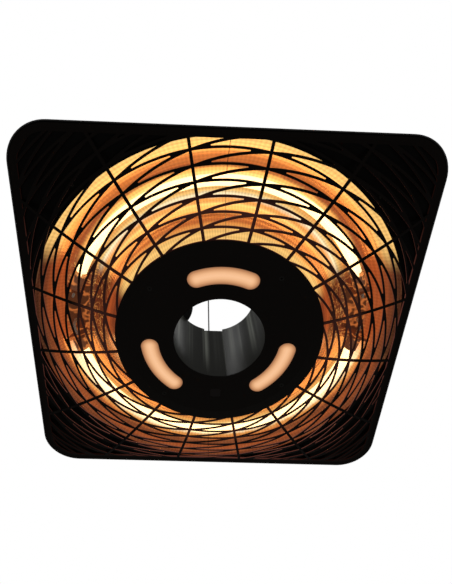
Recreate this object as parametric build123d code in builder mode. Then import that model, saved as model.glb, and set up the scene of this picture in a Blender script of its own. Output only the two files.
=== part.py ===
from build123d import *
import os
from math import atan2, cos, degrees, hypot, pi, radians, sin, sqrt

os.makedirs("parts", exist_ok=True)

# Sizes in millimetres. The origin is the seat inside the hanging hook and +Z is up.
# Heights named "above the rim" are counted from the shade's lower edge.
# +X is to the right and +Y away for someone who looks up at the heater from its near side.

# Sheet metal and fits
sheet_wall = 1.2
seat_gap = 0.3
running_gap = 0.05

# Hanging height of the rim below the hook's seat
hang_height = 470.0
rim = -hang_height

# Shade, a two-step square hat
shade_side = 430.0
shade_corner = 42.0
skirt_height = 30.0
skirt_lean = 12.0
skirt_corner = 36.0
roof_side = 210.0
roof_corner = 22.0
roof_height = 69.0

# Hub cover and centre tube
hub_radius = 113.2
hub_flat_radius = 100.0
hub_depth = 32.0
hub_bevel = 2.35
tube_bore = 49.5
flat_width = 23.6
flat_step = 1.2
flat_count = 3
tube_flange = 5.0

# Guard, a square domed sheet with wave slots between its ribs
guard_half = 208.0
guard_corner = 35.0
guard_border = 4.4
guard_sag = 3.0
guard_inner_lap = 8.7
guard_flat = 0.5
rib_count = 16
rib_width = 3.2
rib_turn = 11.25
slot_pitch = 14.36
slot_first = 118.6
slot_rows = 12
slot_height = 12.0
slot_reach = 18.5
slot_tip = 0.6
slot_edge = 3.2
slot_margin = 0.4

# Underside plate
bezel_recess = 0.6
bezel_flange = 8.0
bezel_lap = 1.5

# Core drum behind the hub
core_gap = 1.3
core_flange = 12.0

# Reflector trough
trough_radius = 205.6
reflector_wall = 0.8
trough_top = 25.0
trough_top_inner = 146.0
trough_top_outer = 178.0
trough_lip = 4.5
trough_tab = 18.0
trough_tab_width = 16.0
seam_gap = 0.6

# Lamps, by the ends of their lit arcs in degrees from +X towards +Y
lamp_radius = 163.0
lamp_height = 9.0
lamp_tube = 6.0
lamp_glass = 1.0
near_lamp_arc = (-159.0, -25.0)
far_lamp_arc = (13.0, 163.0)
pinch_length = 10.0
pinch_width = 9.0
pinch_thick = 3.2
filament_radius = 1.6
lead_in_radius = 0.5
cap_radius = 7.5
cap_length = 18.0
lead_radius = 1.6
lead_reach = 14.0
lead_height = 36.0
lead_bend = 6.0
holder_wall = 1.5
holder_width = 24.0
holder_drop = 10.0
screw_radius = 1.5

# Light windows in the hub
light_count = 3
light_turn = -90.0
light_radius = 76.3
light_width = 19.5
light_reach = 21.2
lens_lap = 2.5
lens_thick = 1.5
lens_inset = 0.5
light_depth = 9.0
board_wall = 1.6
chip_count = 6
chip_side = 5.0
chip_height = 1.0

# Remote-control window in the hub
sensor_radius = 72.7
sensor_turn = 90.0
sensor_width = 11.5
sensor_depth = 11.5

# Hub screws and posts
hub_screw_count = 4
hub_screw_turn = 38.0
hub_screw_radius = 95.5
post_radius = 3.6

# Electronics shelf
shelf_height = 18.0
board_inner = 58.0
board_outer = 96.0
board_start = -150.0
board_sweep = 120.0
spacer_height = 7.0
spacer_radius = 3.0

# Heat shield over the trough
shield_height = 40.0
shield_radius = 150.0
shield_collar = 7.0

# Connection box on the roof
box_radius = 36.0
box_x = -64.0
box_y = 17.0
box_height = 26.0
box_wall = 2.0
box_lid = 3.0
box_pad = 5.0
box_pad_radius = 21.0
box_pad_turn = 105.0
box_pad_sweep = 120.0
entry_radius = 5.0
gasket = 0.8

# Cable gland
gland_bore = 4.0
gland_thread = 8.0
gland_cap = 10.5
gland_cap_length = 18.0
gland_nut = 5.0
gland_seal_wall = 2.4
gland_seal_length = 10.0
gland_boss = 12.0

# Rocker switch
switch_length = 21.0
switch_width = 15.0
switch_rim = 2.0
switch_body = 14.0
rocker_radius = 7.6
rocker_width = 10.0
rocker_tilt = 12.0

# Suspension
wire_radius = 1.0
ball_radius = 3.0
wire_hole = 2.2
wire_count = 3
wire_turn = 94.0
anchor_radius = 65.0
anchor_body = 6.5
anchor_flange = 12.0
anchor_flange_wall = 2.0
anchor_height = 11.0
anchor_cavity = 4.4
crown_radius = 19.0
crown_wall = 5.0
crown_height = 399.0
crown_pitch = 12.0

# Hook and gate
hook_bore = 13.0
hook_bar = 4.0
hook_tip = 14.0
hinge_turn = -56.0
gate_reach = 20.0
gate_gap = 0.6
collar_radius = 7.5
collar_height = 5.0
nut_flats = 13.0
shank_end = 1.5
nut_height = 6.5
washer_radius = 8.5
washer_wall = 1.5
pin_radius = 1.5
ear_radius = 4.2
ear_wall = 1.6
gate_width = 4.4
gate_bar = 2.2

# Rivets and screws
rivet_radius = 1.6
rivet_head = 3.2
rivet_head_height = 1.0
reflector_rivet_count = 4
rivet_count = 2
rivet_pitch = 150.0
rivet_height = 5.5
rivet_sunk = 0.7
head_radius = 3.2
head_height = 2.2


def polar(radius, turn):
    """A point at a radius and an angle in degrees."""
    return radius * cos(radians(turn)), radius * sin(radians(turn))


def bent_sheet(points, wall):
    """The outline of a bent sheet from the points of one face; the wall lies on its left."""
    sides = []
    for (x0, y0), (x1, y1) in zip(points, points[1:]):
        length = hypot(x1 - x0, y1 - y0)
        sides.append(((y0 - y1) / length, (x1 - x0) / length))
    normals = [sides[0]]
    for (ax, ay), (bx, by) in zip(sides, sides[1:]):
        share = 1 + ax * bx + ay * by
        normals.append(((ax + bx) / share, (ay + by) / share))
    normals.append(sides[-1])
    back = [(x + wall * nx, y + wall * ny) for (x, y), (nx, ny) in zip(points, normals)]
    return points + back[::-1]


def shade_half(height):
    """Half the shade's outer width at a height above the rim, on its skirt."""
    return shade_side / 2 - skirt_lean * height / skirt_height


def shade_round(height):
    """The shade's corner radius at a height above the rim, on its skirt."""
    return shade_corner + (skirt_corner - shade_corner) * height / skirt_height


def guard_face(share):
    """Height above the rim of the guard's lower face, at a share of the way from hub to edge."""
    inner = -hub_depth + hub_bevel + sheet_wall + seat_gap
    edge = bezel_recess - seat_gap - sheet_wall
    return inner + (edge - inner) * share - 4 * guard_sag * share * (1 - share)


def sector(inner, outer, start, sweep_turn):
    """The four edges of a ring sector."""
    return [
        CenterArc((0, 0), outer, start, sweep_turn),
        CenterArc((0, 0), inner, start, sweep_turn),
        Line(polar(inner, start), polar(outer, start)),
        Line(polar(inner, start + sweep_turn), polar(outer, start + sweep_turn)),
    ]


def lamp_end(turn, way):
    """The plane at one end of a lamp's arc, looking out of the glass."""
    x, y = polar(lamp_radius, turn)
    out = Vector(*polar(way, turn + 90))
    return Plane(origin=(x, y, rim + lamp_height), x_dir=(0, 0, 1), z_dir=out)


def turn_of(point):
    """The angle of a point about the heater's axis, in degrees."""
    return degrees(atan2(point.Y, point.X))


skirt_slant = sqrt(1 + (skirt_lean / skirt_height) ** 2)
inner_offset = sheet_wall * skirt_slant
tube_outer = tube_bore + sheet_wall
flat_face = tube_bore + flat_step
core_outer = hub_radius - guard_inner_lap - core_gap
core_inner = core_outer - sheet_wall
hub_slope = hub_bevel / (hub_radius - hub_flat_radius)
core_bottom = -hub_depth + sheet_wall + seat_gap + hub_slope * (core_outer - hub_flat_radius)
roof_under = roof_height - sheet_wall
bezel_top = bezel_recess + sheet_wall
reflector_rivet_radius = trough_radius + 2 * trough_tab / 3
light_turns = [light_turn + k * 360 / light_count for k in range(light_count)]
wire_turns = [wire_turn + k * 360 / wire_count for k in range(wire_count)]
hub_screw_turns = [hub_screw_turn + k * 360 / hub_screw_count for k in range(hub_screw_count)]


# Shade
with BuildPart() as shade:
    with BuildSketch(Plane.XY.offset(rim)):
        RectangleRounded(shade_side, shade_side, shade_corner)
    with BuildSketch(Plane.XY.offset(rim + skirt_height)):
        RectangleRounded(2 * shade_half(skirt_height), 2 * shade_half(skirt_height), skirt_corner)
    with BuildSketch(Plane.XY.offset(rim + roof_height)):
        RectangleRounded(roof_side, roof_side, roof_corner)
    loft(ruled=True)
    with BuildSketch(Plane.XY.offset(rim)):
        RectangleRounded(
            shade_side - 2 * inner_offset, shade_side - 2 * inner_offset, shade_corner - inner_offset
        )
    with BuildSketch(Plane.XY.offset(rim + skirt_height - sheet_wall)):
        RectangleRounded(
            2 * (shade_half(skirt_height) - inner_offset),
            2 * (shade_half(skirt_height) - inner_offset),
            skirt_corner - inner_offset,
        )
    with BuildSketch(Plane.XY.offset(rim + roof_under)):
        RectangleRounded(
            roof_side - 2 * inner_offset, roof_side - 2 * inner_offset, roof_corner - inner_offset
        )
    loft(ruled=True, mode=Mode.SUBTRACT)
    with BuildSketch(Plane.XY.offset(rim + roof_under)):
        Circle(tube_outer + seat_gap)
        with PolarLocations(0, flat_count, start_angle=90):
            Rectangle(
                flat_face + sheet_wall + seat_gap,
                flat_width + 2 * (sheet_wall + seat_gap),
                align=(Align.MIN, Align.CENTER),
            )
    extrude(amount=2 * sheet_wall, mode=Mode.SUBTRACT)
    with BuildSketch(Plane.XY.offset(rim + roof_under)):
        with PolarLocations(core_inner - core_flange / 2, 4, start_angle=45):
            Circle(screw_radius + running_gap)
        with PolarLocations(anchor_radius, wire_count, start_angle=wire_turn):
            with GridLocations(1, 2 * (anchor_flange - 1), 1, 2):
                Circle(screw_radius + running_gap)
        with Locations((box_x, box_y)):
            Circle(entry_radius + 1)
            with PolarLocations(box_pad_radius, 3, box_pad_turn, box_pad_sweep, endpoint=True):
                Circle(screw_radius + running_gap)
    extrude(amount=2 * sheet_wall, mode=Mode.SUBTRACT)
    with BuildSketch(Plane.XZ.offset(-shade_side)):
        with Locations((0, rim + rivet_height)):
            with GridLocations(rivet_pitch, 1, rivet_count, 1):
                Circle(rivet_radius + running_gap)
    extrude(amount=2 * shade_side, mode=Mode.SUBTRACT)
    with BuildSketch(Plane.YZ.offset(-shade_side)):
        with Locations((0, rim + rivet_height)):
            with GridLocations(rivet_pitch, 1, rivet_count, 1):
                Circle(rivet_radius + running_gap)
    extrude(amount=2 * shade_side, mode=Mode.SUBTRACT)
shade.part.label = "shade"
export_step(shade.part, "parts/shade.step")

# Underside plate with a turned-up edge inside the skirt
bezel_tall = bezel_recess + sheet_wall + bezel_flange
bezel_low_half = shade_half(bezel_recess) - inner_offset - seat_gap
bezel_high_half = shade_half(bezel_tall) - inner_offset - seat_gap
with BuildPart() as bezel_plate:
    with BuildSketch(Plane.XY.offset(rim + bezel_recess)):
        RectangleRounded(
            2 * bezel_low_half, 2 * bezel_low_half, shade_round(bezel_recess) - inner_offset - seat_gap
        )
    with BuildSketch(Plane.XY.offset(rim + bezel_tall)):
        RectangleRounded(
            2 * bezel_high_half, 2 * bezel_high_half, shade_round(bezel_tall) - inner_offset - seat_gap
        )
    loft(ruled=True)
    with BuildSketch(Plane.XY.offset(rim + bezel_top)):
        RectangleRounded(
            2 * (bezel_low_half - inner_offset),
            2 * (bezel_low_half - inner_offset),
            shade_round(bezel_top) - 2 * inner_offset - seat_gap,
        )
    with BuildSketch(Plane.XY.offset(rim + bezel_tall)):
        RectangleRounded(
            2 * (bezel_high_half - inner_offset),
            2 * (bezel_high_half - inner_offset),
            shade_round(bezel_tall) - 2 * inner_offset - seat_gap,
        )
    loft(ruled=True, mode=Mode.SUBTRACT)
    with BuildSketch(Plane.XY.offset(rim)):
        Circle(trough_radius + bezel_lap)
        with PolarLocations(reflector_rivet_radius, reflector_rivet_count, start_angle=45):
            Circle(rivet_radius + running_gap)
    extrude(amount=bezel_tall, mode=Mode.SUBTRACT)
    with BuildSketch(Plane.XZ.offset(-shade_side)):
        with Locations((0, rim + rivet_height)):
            with GridLocations(rivet_pitch, 1, rivet_count, 1):
                Circle(rivet_radius + running_gap)
    extrude(amount=2 * shade_side, mode=Mode.SUBTRACT)
    with BuildSketch(Plane.YZ.offset(-shade_side)):
        with Locations((0, rim + rivet_height)):
            with GridLocations(rivet_pitch, 1, rivet_count, 1):
                Circle(rivet_radius + running_gap)
    extrude(amount=2 * shade_side, mode=Mode.SUBTRACT)
bezel_plate.part.label = "bezel_plate"
export_step(bezel_plate.part, "parts/bezel_plate.step")

# Rivets through the skirt and the plate's edge, with flush ends outside and heads inside
rivet_grip = 2 * inner_offset + seat_gap + running_gap
with BuildPart() as skirt_rivets:
    for side in range(4):
        face = Plane.YZ.rotated((0, 0, 90 * side))
        skew = face.from_local_coords((0, skirt_lean / skirt_height, 1)) - face.from_local_coords((0, 0, 0))
        for along in (-rivet_pitch / 2, rivet_pitch / 2):
            out = shade_half(rivet_height)
            seat = face.from_local_coords((along, rim + rivet_height, out - rivet_grip))
            end = face.from_local_coords((along, rim + rivet_height, out - rivet_sunk))
            with BuildSketch(Plane(origin=seat, z_dir=skew)):
                Circle(rivet_head)
            extrude(amount=-rivet_head_height)
            with BuildSketch(Plane(origin=end, z_dir=face.z_dir)):
                Circle(rivet_radius)
            extrude(amount=rivet_sunk - rivet_grip - rivet_head_height / 2)
skirt_rivets.part.label = "skirt_rivets"
export_step(skirt_rivets.part, "parts/skirt_rivets.step")

# Wave slots in the four columns of one quarter, each a slanted diamond with rounded tips
guard_inner = hub_radius - guard_inner_lap
rib_pitch = 360 / rib_count
slot_half = guard_half - slot_edge
with BuildSketch() as slot_column:
    for row in range(slot_rows):
        centre = slot_first + row * slot_pitch
        low = centre - slot_height / 2
        high = centre + slot_height / 2
        with BuildLine():
            ThreePointArc(polar(low, 0), polar(low, -slot_reach / 2), polar(low, -slot_reach))
            ThreePointArc(polar(low, -slot_reach), polar(centre, -slot_reach / 2), polar(high, 0))
            ThreePointArc(polar(high, 0), polar(high, slot_reach / 2), polar(high, slot_reach))
            ThreePointArc(polar(high, slot_reach), polar(centre, slot_reach / 2), polar(low, 0))
        make_face()
    tips = [corner for corner in slot_column.vertices() if abs(turn_of(corner)) > slot_reach / 2]
    fillet(tips, slot_tip)
with BuildSketch() as slot_quarter:
    with PolarLocations(0, rib_count // 4, start_angle=rib_turn, angular_range=90):
        add(slot_column.sketch)
    with PolarLocations(0, rib_count // 4 + 1, start_angle=rib_turn - rib_pitch, angular_range=90 + rib_pitch):
        Rectangle(2 * guard_half, rib_width, align=(Align.MIN, Align.CENTER), mode=Mode.SUBTRACT)
    Circle(hub_radius + slot_margin, mode=Mode.SUBTRACT)
    RectangleRounded(2 * slot_half, 2 * slot_half, guard_corner - slot_edge, mode=Mode.INTERSECT)

# Guard: a bowl from the hub's round edge to a square edge, with a lap behind the hub and a flat border
lap_start = guard_face(0) - hub_slope * guard_inner_lap
border_half = guard_half + guard_border
with BuildPart() as guard:
    for lift, mode in ((0, Mode.ADD), (sheet_wall, Mode.SUBTRACT)):
        for share in (0, 0.5, 1):
            half = hub_radius + (guard_half - hub_radius) * share
            corner = hub_radius - guard_flat + (guard_corner - hub_radius + guard_flat) * share
            with BuildSketch(Plane.XY.offset(rim + guard_face(share) + lift)):
                RectangleRounded(2 * half, 2 * half, corner)
        loft(mode=mode)
    with BuildSketch(Plane.XY.offset(rim + guard_face(0))):
        Circle(hub_radius)
    extrude(amount=2 * sheet_wall, mode=Mode.SUBTRACT)
    with BuildSketch(Plane.XY.offset(rim + guard_face(1))):
        RectangleRounded(2 * border_half, 2 * border_half, guard_corner + guard_border)
        RectangleRounded(2 * slot_half, 2 * slot_half, guard_corner - slot_edge, mode=Mode.SUBTRACT)
    extrude(amount=sheet_wall)
    with BuildSketch(Plane.XZ):
        lap_points = [
            (guard_inner, rim + lap_start),
            (hub_radius, rim + guard_face(0)),
            (hub_radius + slot_margin, rim + guard_face(0)),
        ]
        with BuildLine():
            Polyline(*bent_sheet(lap_points, sheet_wall), close=True)
        make_face()
    revolve(axis=Axis.Z)
    with BuildSketch(Plane.XY.offset(rim - hub_depth)):
        with PolarLocations(0, 4):
            add(slot_quarter.sketch)
    extrude(amount=hub_depth, mode=Mode.SUBTRACT)
guard.part.label = "guard"
export_step(guard.part, "parts/guard.step")

# Hub cover with its light windows, sensor window and screw holes
with BuildPart() as hub_cover:
    with BuildSketch(Plane.XZ):
        hub_points = [
            (tube_bore, rim - hub_depth),
            (hub_flat_radius, rim - hub_depth),
            (hub_radius, rim - hub_depth + hub_bevel),
        ]
        with BuildLine():
            Polyline(*bent_sheet(hub_points, sheet_wall), close=True)
        make_face()
    revolve(axis=Axis.Z)
    for turn in light_turns:
        with BuildSketch(Plane.XY.offset(rim - hub_depth)):
            SlotArc(CenterArc((0, 0), light_radius, turn - light_reach, 2 * light_reach), light_width)
        extrude(amount=sheet_wall, mode=Mode.SUBTRACT)
    with BuildSketch(Plane.XY.offset(rim - hub_depth)):
        with PolarLocations(sensor_radius, 1, start_angle=sensor_turn):
            RectangleRounded(sensor_depth, sensor_width, 1.5)
    extrude(amount=sheet_wall, mode=Mode.SUBTRACT)
    with Locations(Plane.XY.offset(rim - hub_depth).rotated((180, 0, 0))):
        with PolarLocations(hub_screw_radius, hub_screw_count, start_angle=-hub_screw_turn):
            CounterSinkHole(
                screw_radius + running_gap, screw_radius + sheet_wall, 2 * sheet_wall, 90
            )
hub_cover.part.label = "hub_cover"
export_step(hub_cover.part, "parts/hub_cover.step")

# Centre tube: round inside, with a pressed flat below each wire anchor
tube_low = rim - hub_depth + sheet_wall
tube_tall = hub_depth - sheet_wall + roof_height
with BuildPart() as centre_tube:
    with BuildSketch(Plane.XY.offset(tube_low)):
        Circle(tube_outer)
        with PolarLocations(0, flat_count, start_angle=90):
            Rectangle(
                flat_face + sheet_wall, flat_width + 2 * sheet_wall, align=(Align.MIN, Align.CENTER)
            )
        Circle(tube_bore, mode=Mode.SUBTRACT)
        with PolarLocations(0, flat_count, start_angle=90):
            Rectangle(
                flat_face, flat_width, align=(Align.MIN, Align.CENTER), mode=Mode.SUBTRACT
            )
    extrude(amount=tube_tall)
    with BuildSketch(Plane.XY.offset(rim + roof_height)):
        Circle(tube_outer + tube_flange)
        Circle(tube_bore, mode=Mode.SUBTRACT)
        with PolarLocations(0, flat_count, start_angle=90):
            Rectangle(
                flat_face, flat_width, align=(Align.MIN, Align.CENTER), mode=Mode.SUBTRACT
            )
    extrude(amount=sheet_wall)
centre_tube.part.label = "centre_tube"
export_step(centre_tube.part, "parts/centre_tube.step")

# Core drum, with holes where the lamp leads enter
lamp_ends = [
    (near_lamp_arc[0], -1), (near_lamp_arc[1], 1), (far_lamp_arc[0], -1), (far_lamp_arc[1], 1)
]
end_wall = 1.5
pinch_sunk = 6.0
cap_start = end_wall + pinch_length - pinch_sunk
cap_end = cap_start + cap_length


def beyond(end, distance):
    """A point on the straight line that a lamp's end points along."""
    return lamp_end(*end).from_local_coords((0, 0, distance))


risers = [beyond(end, cap_end + lead_reach) for end in lamp_ends]
riser_turns = [turn_of(point) for point in risers]
with BuildPart() as core_drum:
    with BuildSketch(Plane.XY.offset(rim + core_bottom)):
        Circle(core_outer)
        Circle(core_inner, mode=Mode.SUBTRACT)
    extrude(amount=roof_under - core_bottom)
    with BuildSketch(Plane.XY.offset(rim + roof_under - sheet_wall)):
        Circle(core_inner)
        Circle(core_inner - core_flange, mode=Mode.SUBTRACT)
        with PolarLocations(core_inner - core_flange / 2, 4, start_angle=45):
            Circle(screw_radius + running_gap, mode=Mode.SUBTRACT)
    extrude(amount=sheet_wall)
    for turn in riser_turns:
        with BuildSketch(Plane(origin=(0, 0, rim + lead_height), z_dir=Vector(*polar(1, turn)))):
            Circle(lead_radius + seat_gap)
        extrude(amount=core_outer + 1, mode=Mode.SUBTRACT)
core_drum.part.label = "core_drum"
export_step(core_drum.part, "parts/core_drum.step")

# Reflector trough in two halves that meet at the near and far seams
lip_height = lap_start + hub_slope * 1.5 + sheet_wall + seat_gap
trough_points = [
    (core_outer + seat_gap, rim + lip_height),
    (guard_inner + 1.5, rim + lip_height),
    (trough_top_inner, rim + trough_top),
    (trough_top_outer, rim + trough_top),
    (trough_radius + seat_gap, rim + bezel_top + running_gap),
    (trough_radius + seat_gap + trough_lip, rim + bezel_top + running_gap),
]
for name, side, names in (("right", 1, (1, 2)), ("left", -1, (0, 3))):
    with BuildPart() as reflector:
        with BuildSketch(Plane.XZ):
            with BuildLine():
                Polyline(*bent_sheet(trough_points, reflector_wall), close=True)
            make_face()
        revolve(axis=Axis.Z)
        with BuildSketch(Plane.XY.offset(rim + bezel_top + running_gap)):
            with PolarLocations(trough_radius + trough_lip / 2, reflector_rivet_count, start_angle=45):
                Rectangle(trough_tab, trough_tab_width, align=(Align.MIN, Align.CENTER))
        extrude(amount=reflector_wall)
        with BuildSketch(Plane.XY.offset(rim - hub_depth)):
            Rectangle(
                shade_side, shade_side, align=(Align.MAX if side > 0 else Align.MIN, Align.CENTER)
            )
            with Locations((side * seam_gap / 4, 0)):
                Rectangle(seam_gap / 2, shade_side)
        extrude(amount=hub_depth + roof_height, mode=Mode.SUBTRACT)
        for k in names:
            with BuildSketch(Plane.XY.offset(rim + trough_top)):
                with Locations((risers[k].X, risers[k].Y)):
                    Circle(lead_radius + seat_gap)
            extrude(amount=2 * reflector_wall, mode=Mode.SUBTRACT)
        with BuildSketch(Plane.XY.offset(rim + bezel_top)):
            with PolarLocations(reflector_rivet_radius, reflector_rivet_count, start_angle=45):
                Circle(rivet_radius + running_gap)
        extrude(amount=2 * reflector_wall, mode=Mode.SUBTRACT)
    reflector.part.label = f"reflector_{name}"
    export_step(reflector.part, f"parts/reflector_{name}.step")

# Rivets that hold the reflector's lip on the underside plate
with BuildPart() as reflector_rivets:
    with BuildSketch(Plane.XY.offset(rim + bezel_recess)):
        with PolarLocations(reflector_rivet_radius, reflector_rivet_count, start_angle=45):
            Circle(rivet_radius)
    extrude(amount=sheet_wall + reflector_wall + 2 * running_gap)
    with BuildSketch(Plane.XY.offset(rim + bezel_top + reflector_wall + 2 * running_gap)):
        with PolarLocations(reflector_rivet_radius, reflector_rivet_count, start_angle=45):
            Circle(rivet_radius + 0.6)
    extrude(amount=rivet_head_height)
reflector_rivets.part.label = "reflector_rivets"
export_step(reflector_rivets.part, "parts/reflector_rivets.step")

# Lamps: a bent glass tube with a pressed seal at each end, and its filament
lamp_level = Plane.XY.offset(rim + lamp_height)
for name, (start, end), ends in (
    ("near", near_lamp_arc, lamp_ends[:2]),
    ("far", far_lamp_arc, lamp_ends[2:]),
):
    with BuildPart() as lamp:
        with BuildLine(lamp_level):
            CenterArc((0, 0), lamp_radius, start, end - start)
        with BuildSketch(lamp_end(start, -1)):
            Circle(lamp_tube)
            Circle(lamp_tube - lamp_glass, mode=Mode.SUBTRACT)
        sweep()
        for turn, way in ends:
            with BuildSketch(lamp_end(turn, way)):
                Circle(lamp_tube)
            extrude(amount=end_wall)
            with BuildSketch(lamp_end(turn, way)):
                Rectangle(pinch_width, pinch_thick)
            extrude(amount=end_wall + pinch_length)
            with BuildSketch(lamp_end(turn, way)):
                Circle(lead_in_radius + running_gap)
            extrude(amount=end_wall + pinch_length, mode=Mode.SUBTRACT)
    lamp.part.label = f"lamp_tube_{name}"
    export_step(lamp.part, f"parts/lamp_tube_{name}.step")

    with BuildPart() as filament:
        with BuildLine(lamp_level):
            CenterArc((0, 0), lamp_radius, start, end - start)
        with BuildSketch(lamp_end(start, -1)):
            Circle(filament_radius)
        sweep()
        for turn, way in ends:
            with BuildSketch(lamp_end(turn, way).offset(-running_gap)):
                Circle(lead_in_radius)
            extrude(amount=end_wall + pinch_length + running_gap)
    filament.part.label = f"filament_{name}"
    export_step(filament.part, f"parts/filament_{name}.step")

# Ceramic caps on the four lamp ends
with BuildPart() as lamp_caps:
    for end in lamp_ends:
        with BuildSketch(lamp_end(*end).offset(cap_start)):
            Circle(cap_radius)
        extrude(amount=cap_length)
        with BuildSketch(lamp_end(*end).offset(cap_start)):
            Rectangle(pinch_width + 2 * running_gap, pinch_thick + 2 * running_gap)
        extrude(amount=pinch_sunk + running_gap, mode=Mode.SUBTRACT)
lamp_caps.part.label = "lamp_caps"
export_step(lamp_caps.part, "parts/lamp_caps.step")

# Lamp holders: a foot on the flat top of the trough and a leg behind each cap
for name, pair in (("right", (1, 2)), ("left", (3, 0))):
    leg_turns = [turn_of(beyond(lamp_ends[k], cap_end + holder_wall / 2)) for k in pair]
    with BuildPart() as holder:
        with BuildSketch(Plane.XY.offset(rim + trough_top - holder_wall)):
            make_face(
                sector(
                    lamp_radius - holder_width / 2,
                    lamp_radius + holder_width / 2,
                    leg_turns[0],
                    (leg_turns[1] - leg_turns[0]) % 360,
                )
            )
            for k in pair:
                with Locations((risers[k].X, risers[k].Y)):
                    Circle(lead_radius + seat_gap, mode=Mode.SUBTRACT)
        extrude(amount=holder_wall)
        for k in pair:
            with BuildSketch(lamp_end(*lamp_ends[k]).offset(cap_end)):
                with Locations((-holder_drop, 0)):
                    Rectangle(
                        holder_drop + trough_top - lamp_height,
                        holder_width - 4,
                        align=(Align.MIN, Align.CENTER),
                    )
                Circle(lead_radius + seat_gap, mode=Mode.SUBTRACT)
            extrude(amount=holder_wall)
    holder.part.label = f"lamp_holder_{name}"
    export_step(holder.part, f"parts/lamp_holder_{name}.step")

# Lamp leads: out of the cap, up through the trough and in to the terminals in the drum
terminal_face = core_inner - lead_bend
with BuildPart() as lamp_leads:
    for end, point, turn in zip(lamp_ends, risers, riser_turns):
        with BuildLine():
            FilletPolyline(
                beyond(end, cap_end),
                point,
                (point.X, point.Y, rim + lead_height),
                (*polar(terminal_face, turn), rim + lead_height),
                radius=lead_bend,
            )
        with BuildSketch(lamp_end(*end).offset(cap_end)):
            Circle(lead_radius)
        sweep()
lamp_leads.part.label = "lamp_leads"
export_step(lamp_leads.part, "parts/lamp_leads.step")

# Heat shield over the trough, on a collar round the core drum
with BuildPart() as heat_shield:
    with BuildSketch(Plane.XY.offset(rim + shield_height)):
        Circle(shield_radius)
        Circle(core_outer + seat_gap, mode=Mode.SUBTRACT)
    extrude(amount=reflector_wall)
    with BuildSketch(Plane.XY.offset(rim + shield_height)):
        Circle(core_outer + seat_gap + reflector_wall)
        Circle(core_outer + seat_gap, mode=Mode.SUBTRACT)
    extrude(amount=shield_collar)
heat_shield.part.label = "heat_shield"
export_step(heat_shield.part, "parts/heat_shield.step")

# Lights in the hub: lens, board and chips behind each window
lens_top = rim - hub_depth + sheet_wall + lens_thick
tray_under = lens_top + light_depth
tray_bore = hypot(flat_face + sheet_wall, flat_width / 2 + sheet_wall) + 1
light_windows = [
    CenterArc((0, 0), light_radius, turn - light_reach, 2 * light_reach) for turn in light_turns
]
with BuildPart() as led_lenses:
    with BuildSketch(Plane.XY.offset(rim - hub_depth + lens_inset)):
        for window in light_windows:
            SlotArc(window, light_width - seat_gap)
    extrude(amount=sheet_wall - lens_inset)
    with BuildSketch(Plane.XY.offset(rim - hub_depth + sheet_wall)):
        for window in light_windows:
            SlotArc(window, light_width + 2 * lens_lap)
    extrude(amount=lens_thick)
led_lenses.part.label = "led_lenses"
export_step(led_lenses.part, "parts/led_lenses.step")

with BuildPart() as led_boards:
    with BuildSketch(Plane.XY.offset(tray_under - board_wall)):
        for window in light_windows:
            SlotArc(window, light_width - 2)
    extrude(amount=board_wall)
led_boards.part.label = "led_boards"
export_step(led_boards.part, "parts/led_boards.step")

with BuildPart() as led_chips:
    for turn in light_turns:
        step = 2 * light_reach / (chip_count - 1)
        with BuildSketch(Plane.XY.offset(tray_under - board_wall - chip_height)):
            for k in range(chip_count):
                with PolarLocations(light_radius, 1, start_angle=turn - light_reach + k * step):
                    Rectangle(chip_side, chip_side)
        extrude(amount=chip_height)
led_chips.part.label = "led_chips"
export_step(led_chips.part, "parts/led_chips.step")

with BuildPart() as led_tray:
    with BuildSketch(Plane.XY.offset(tray_under)):
        Circle(core_inner - seat_gap)
        Circle(tray_bore, mode=Mode.SUBTRACT)
        with PolarLocations(hub_screw_radius, hub_screw_count, start_angle=hub_screw_turn):
            Circle(screw_radius + running_gap, mode=Mode.SUBTRACT)
    extrude(amount=sheet_wall)
led_tray.part.label = "led_tray"
export_step(led_tray.part, "parts/led_tray.step")

# Posts between the hub cover and the tray, and the countersunk screws in them
with BuildPart() as hub_posts:
    with BuildSketch(Plane.XY.offset(rim - hub_depth + sheet_wall)):
        with PolarLocations(hub_screw_radius, hub_screw_count, start_angle=hub_screw_turn):
            Circle(post_radius)
            Circle(screw_radius + running_gap, mode=Mode.SUBTRACT)
    extrude(amount=lens_thick + light_depth)
hub_posts.part.label = "hub_posts"
export_step(hub_posts.part, "parts/hub_posts.step")

with BuildPart() as hub_screws:
    for turn in hub_screw_turns:
        x, y = polar(hub_screw_radius, turn)
        with Locations((x, y, rim - hub_depth)):
            Cone(
                screw_radius + sheet_wall - running_gap,
                screw_radius,
                sheet_wall,
                align=(Align.CENTER, Align.CENTER, Align.MIN),
            )
            Cylinder(
                screw_radius,
                lens_thick + light_depth + 2 * sheet_wall,
                align=(Align.CENTER, Align.CENTER, Align.MIN),
            )
hub_screws.part.label = "hub_screws"
export_step(hub_screws.part, "parts/hub_screws.step")

# Remote-control window and the receiver behind it
with BuildPart() as sensor_window:
    with BuildSketch(Plane.XY.offset(rim - hub_depth + lens_inset / 2)):
        with PolarLocations(sensor_radius, 1, start_angle=sensor_turn):
            RectangleRounded(sensor_depth - 2 * running_gap, sensor_width - 2 * running_gap, 1.4)
    extrude(amount=sheet_wall - lens_inset / 2)
    with BuildSketch(Plane.XY.offset(rim - hub_depth + sheet_wall)):
        with PolarLocations(sensor_radius, 1, start_angle=sensor_turn):
            RectangleRounded(sensor_depth + lens_lap, sensor_width + lens_lap, 1.4)
    extrude(amount=lens_thick)
sensor_window.part.label = "sensor_window"
export_step(sensor_window.part, "parts/sensor_window.step")

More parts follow.
